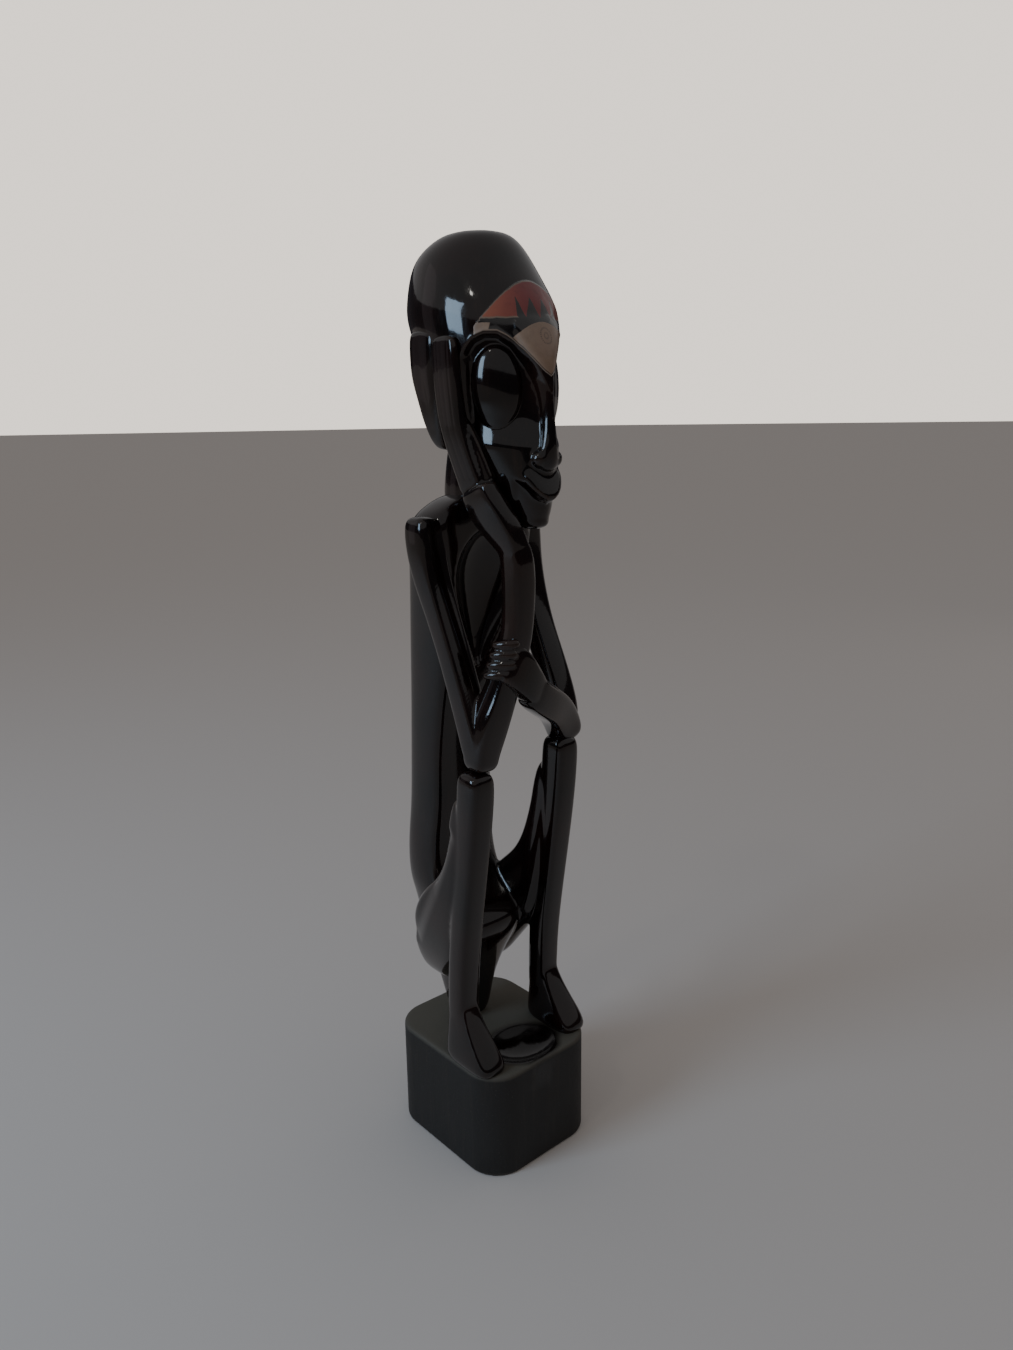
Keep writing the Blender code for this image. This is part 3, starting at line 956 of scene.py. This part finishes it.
class STATUETTE_OT_body(bpy.types.Operator):
    """Carve the trunk with its hollow chest, and the seat, thighs, shins and feet in one skin with it"""
    bl_idname = "statuette.body"
    bl_label = "Body and legs"

    def execute(self, context):
        sizes = context.scene.statuette_sizes
        hollow = rounded_cutter(levels([
            (0.2845, 0, 0.0050, -0.0200, -0.0030),
            (0.2775, 0, 0.0150, -0.0200, 0.0030),
            (0.2660, 0, 0.0192, -0.0200, 0.0066),
            (0.2535, 0, 0.0166, -0.0200, 0.0084),
            (0.2400, 0, 0.0116, -0.0190, 0.0084),
            (0.2275, 0, 0.0054, -0.0170, 0.0070),
            (0.2190, 0, 0.0016, -0.0150, 0.0050),
        ], ROUND))
        forms = [rounded(levels([
            (0.2975, 0, 0.0110, -0.0030, 0.0130),
            (0.2925, 0, 0.0210, -0.0045, 0.0165),
            (0.2868, 0, 0.0290, -0.0050, 0.0190),
            (0.2760, 0, 0.0286, -0.0052, 0.0212),
            (0.2600, 0, 0.0243, -0.0042, 0.0272),
            (0.2350, 0, 0.0209, 0.0006, 0.0327),
            (0.2100, 0, 0.0190, 0.0080, 0.0352),
            (0.1800, 0, 0.0180, 0.0142, 0.0377),
            (0.1550, 0, 0.0180, 0.0142, 0.0392),
            (0.1400, 0, 0.0200, 0.0160, 0.0396),
            (0.1270, 0, 0.0206, 0.0148, 0.0396),
            (0.1180, 0, 0.0203, 0.0090, 0.0392),
            (0.1110, 0, 0.0190, -0.0030, 0.0386),
            (0.1030, 0, 0.0182, -0.0100, 0.0376),
            (0.0850, 0, 0.0142, 0.0008, 0.0347),
            (0.0660, 0, 0.0102, 0.0083, 0.0282),
            (0.0450, 0, 0.0090, 0.0100, 0.0215),
        ], SQUARE), 3, [hollow])]
        for side in (-1, 1):
            drop = 0.0 if side > 0 else -0.0055
            forms.append(rounded(levels([
                (0.1815 + drop, side * 0.0238, 0.0062, -0.0200, -0.0110),
                (0.1600, side * 0.0238, 0.0066, -0.0180, -0.0080),
                (0.1400, side * 0.0232, 0.0072, -0.0160, -0.0020),
                (0.1300, side * 0.0227, 0.0076, -0.0150, 0.0055),
                (0.1220, side * 0.0222, 0.0080, -0.0140, 0.0160),
                (0.1060, side * 0.0205, 0.0079, -0.0104, 0.0268),
                (0.0945, side * 0.0190, 0.0070, -0.0036, 0.0276),
                (0.0850, side * 0.0170, 0.0062, 0.0036, 0.0280),
                (0.0740, side * 0.0130, 0.0050, 0.0100, 0.0270),
            ], SQUARE), 3))
            forms.append(rounded(bar([
                ((side * 0.0242, -0.0212, 0.1925 + drop), 0.0060, 0.0060),
                ((side * 0.0242, -0.0212, 0.1860 + drop), 0.0068, 0.0068),
                ((side * 0.0241, -0.0198, 0.1650), 0.0066, 0.0066),
                ((side * 0.0240, -0.0166, 0.1400), 0.0062, 0.0063),
                ((side * 0.0240, -0.0128, 0.1150), 0.0060, 0.0061),
                ((side * 0.0240, -0.0102, 0.0950), 0.0058, 0.0060),
                ((side * 0.0242, -0.0092, 0.0740), 0.0056, 0.0058),
                ((side * 0.0243, -0.0090, 0.0560), 0.0056, 0.0058),
            ], chamfer=SQUARE), 3))
            forms.append(rounded(levels([
                (0.0800, side * 0.0243, 0.0046, -0.0140, -0.0040),
                (0.0710, side * 0.0244, 0.0052, -0.0170, -0.0032),
                (0.0620, side * 0.0246, 0.0062, -0.0250, -0.0028),
                (0.0545, side * 0.0246, 0.0076, -0.0320, -0.0024),
                (0.0470, side * 0.0246, 0.0080, -0.0338, -0.0024),
            ], SQUARE), 3))
        skin = fused(forms, sizes.body_cut, sizes.polish)
        for side in (-1, 1):
            stroke(skin, [
                (side * 0.0290, -0.0070, 0.1550), (side * 0.0295, 0.0060, 0.1270),
                (side * 0.0265, 0.0240, 0.0980),
            ], 0.0075, 0.0014, (side, 0, 0))
        wear_of(skin)
        keep_normals(skin)
        lower, trunk = sawn(skin, (0, 0.0300, 0.1450), (0, 0.940, 0.342))
        lacquered("torso", trunk)
        for side, word in ((-1, "right"), (1, "left")):
            lower, leg = sawn(lower, (side * 0.0160, 0, 0), (side, 0, 0))
            thigh, leg = sawn(leg, (0, -0.0130, 0.1650), (0, -0.985, -0.172))
            foot, shin = sawn(leg, (0, 0, 0.0690), (0, 0, 1))
            for part, shape in (("thigh", thigh), ("shin", shin), ("foot", foot)):
                lacquered(f"{word}_{part}", shape)
        lacquered("pelvis", lower, "seat")
        return {"FINISHED"}


class STATUETTE_OT_block(bpy.types.Operator):
    """Cut the block base with its worn rim and dished top"""
    bl_idname = "statuette.block"
    bl_label = "Block base"

    def execute(self, context):
        low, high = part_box("base_block")
        size, centre = high - low, (high + low) / 2
        block = bmesh.new()
        bmesh.ops.create_cube(block, size=1.0)
        bmesh.ops.scale(block, vec=size, verts=block.verts)
        bmesh.ops.translate(block, vec=centre, verts=block.verts)
        upright = [e for e in block.edges if abs(e.verts[0].co.z - e.verts[1].co.z) > size.z / 2]
        rounding = {"profile": 0.5, "affect": "EDGES", "material": -1}
        bmesh.ops.bevel(block, geom=upright, offset=BLOCK_CORNER, segments=10, **rounding)
        rims = [e for e in block.edges if all(v.co.z > high.z - 1e-5 for v in e.verts)]
        bmesh.ops.bevel(block, geom=rims, offset=BLOCK_RIM, segments=3, **rounding)
        feet = [e for e in block.edges if all(v.co.z < low.z + 1e-5 for v in e.verts)]
        bmesh.ops.bevel(block, geom=feet, offset=BLOCK_FOOT, segments=2, **rounding)
        bmesh.ops.triangulate(block, faces=block.faces)
        dish = ball(DISH, DISH_SIZE)
        skin = fused([rounded(block, 0, [dish])], 0.0008, 2)
        stain = finish_named("matt_stain_finish", stain_finish)
        piece("base_block", skin, stain, ("base_block",))
        return {"FINISHED"}


# Turn round the figure, tilt down, roll and turn aside, in degrees; then metres, and millimetres of lens.
CAMERA_ANGLES = (-40.0, 14.0, -0.8, -1.2147)
CAMERA_AWAY, CAMERA_HEIGHT, LENS = 0.425, 0.325, 27.04


class STATUETTE_OT_studio(bpy.types.Operator):
    """Set the plain floor, soft lights and camera"""
    bl_idname = "statuette.studio"
    bl_label = "Studio"

    def execute(self, context):
        studio = context.scene.statuette_studio
        ground = bmesh.new()
        bmesh.ops.create_grid(ground, x_segments=2, y_segments=2, size=60.0)
        floor = bpy.data.objects.new("studio_floor", mesh_of(ground, "studio_floor"))
        context.scene.collection.objects.link(floor)
        recipe = Recipe("plain_floor")
        recipe.surface(Base_Color=opaque(studio.floor), Roughness=0.9)
        floor.data.materials.append(recipe.material)
        target = Vector((0, 0, 0.20))
        for name, place, width, height, power, colour in (
            ("left_softbox", (-0.78, 0.98, 0.60), 0.40, 1.10, studio.fill * 0.5, (1.0, 0.84, 0.90)),
            ("right_softbox", (1.30, -0.10, 0.60), 0.40, 1.10, studio.fill, (1.0, 0.93, 0.88)),
            ("window", (-1.00, 0.20, 0.68), 0.40, 0.52, studio.daylight * 3.2, (0.55, 0.76, 1.0)),
            ("ceiling_lamp", (-0.70, -0.14, 1.15), 0.07, 0.07, studio.daylight * 0.20, (1.0, 0.97, 0.90)),
        ):
            light = bpy.data.lights.new(name, "AREA")
            light.shape, light.size, light.size_y = "RECTANGLE", width, height
            light.energy, light.color = power, colour
            lamp = bpy.data.objects.new(name, light)
            lamp.location = place
            lamp.rotation_mode = "QUATERNION"
            lamp.rotation_quaternion = (target - Vector(place)).to_track_quat("-Z", "Y")
            context.scene.collection.objects.link(lamp)
        sky = bpy.data.lights.new("soft_sky", "SUN")
        sky.energy, sky.angle, sky.color = studio.sky, math.radians(150.0), (1.0, 0.98, 0.97)
        context.scene.collection.objects.link(bpy.data.objects.new("soft_sky", sky))
        world = bpy.data.worlds.new("studio_air")
        world.use_nodes = True
        air = world.node_tree
        # The air is pale behind the figure and dim in its lacquer.
        seen = air.nodes.new("ShaderNodeLightPath").outputs["Is Camera Ray"]
        shade = air.nodes.new("ShaderNodeMix")
        shade.data_type = "RGBA"
        air.links.new(seen, shade.inputs[0])
        shade.inputs[6].default_value = (0.030, 0.029, 0.033, 1.0)
        shade.inputs[7].default_value = (1.46, 1.34, 1.20, 1.0)
        air.links.new(shade.outputs[2], air.nodes["Background"].inputs["Color"])
        context.scene.world = world

        turn, pitch, roll, yaw = (math.radians(angle) for angle in CAMERA_ANGLES)
        level = Matrix.Rotation(yaw, 3, "Z") @ Vector((-math.sin(turn), math.cos(turn), 0))
        up = Vector((0, 0, 1))
        forward = level * math.cos(pitch) - up * math.sin(pitch)
        right = forward.cross(up).normalized()
        above = right.cross(forward)
        right, above = (
            right * math.cos(roll) + above * math.sin(roll),
            above * math.cos(roll) - right * math.sin(roll),
        )
        lens = bpy.data.cameras.new("camera")
        lens.sensor_fit, lens.sensor_height, lens.lens = "VERTICAL", 36.0, LENS
        camera = bpy.data.objects.new("camera", lens)
        camera.matrix_world = Matrix.Translation(
            (math.sin(turn) * CAMERA_AWAY, -math.cos(turn) * CAMERA_AWAY, CAMERA_HEIGHT)
        ) @ Matrix((right, above, -forward)).transposed().to_4x4()
        context.scene.collection.objects.link(camera)
        context.scene.camera = camera
        return {"FINISHED"}


class STATUETTE_PT_panel(bpy.types.Panel):
    """Lists the pieces and the studio"""
    bl_idname = "STATUETTE_PT_panel"
    bl_label = "Carved Statuette"
    bl_space_type = "VIEW_3D"
    bl_region_type = "UI"
    bl_category = "Statuette"

    def draw(self, context):
        for operator in OPERATORS:
            self.layout.operator(operator.bl_idname)
        for group in (
            context.scene.statuette_sizes, context.scene.statuette_finish, context.scene.statuette_studio,
        ):
            for name in group.__annotations__:
                self.layout.prop(group, name)


SETTINGS = {
    "statuette_sizes": StatuetteSizes,
    "statuette_finish": StatuetteFinish,
    "statuette_studio": StatuetteStudio,
}
OPERATORS = (
    STATUETTE_OT_block, STATUETTE_OT_body, STATUETTE_OT_arms, STATUETTE_OT_head,
    STATUETTE_OT_brow, STATUETTE_OT_ears, STATUETTE_OT_studio,
)


def register():
    for name, group in SETTINGS.items():
        bpy.utils.register_class(group)
        setattr(bpy.types.Scene, name, PointerProperty(type=group))
    for operator in (*OPERATORS, STATUETTE_PT_panel):
        bpy.utils.register_class(operator)


def unregister():
    for operator in reversed((*OPERATORS, STATUETTE_PT_panel)):
        bpy.utils.unregister_class(operator)
    for name, group in SETTINGS.items():
        delattr(bpy.types.Scene, name)
        bpy.utils.unregister_class(group)


def main():
    register()
    for operator in OPERATORS:
        family, action = operator.bl_idname.split(".")
        getattr(getattr(bpy.ops, family), action)()


if __name__ == "__main__":
    main()
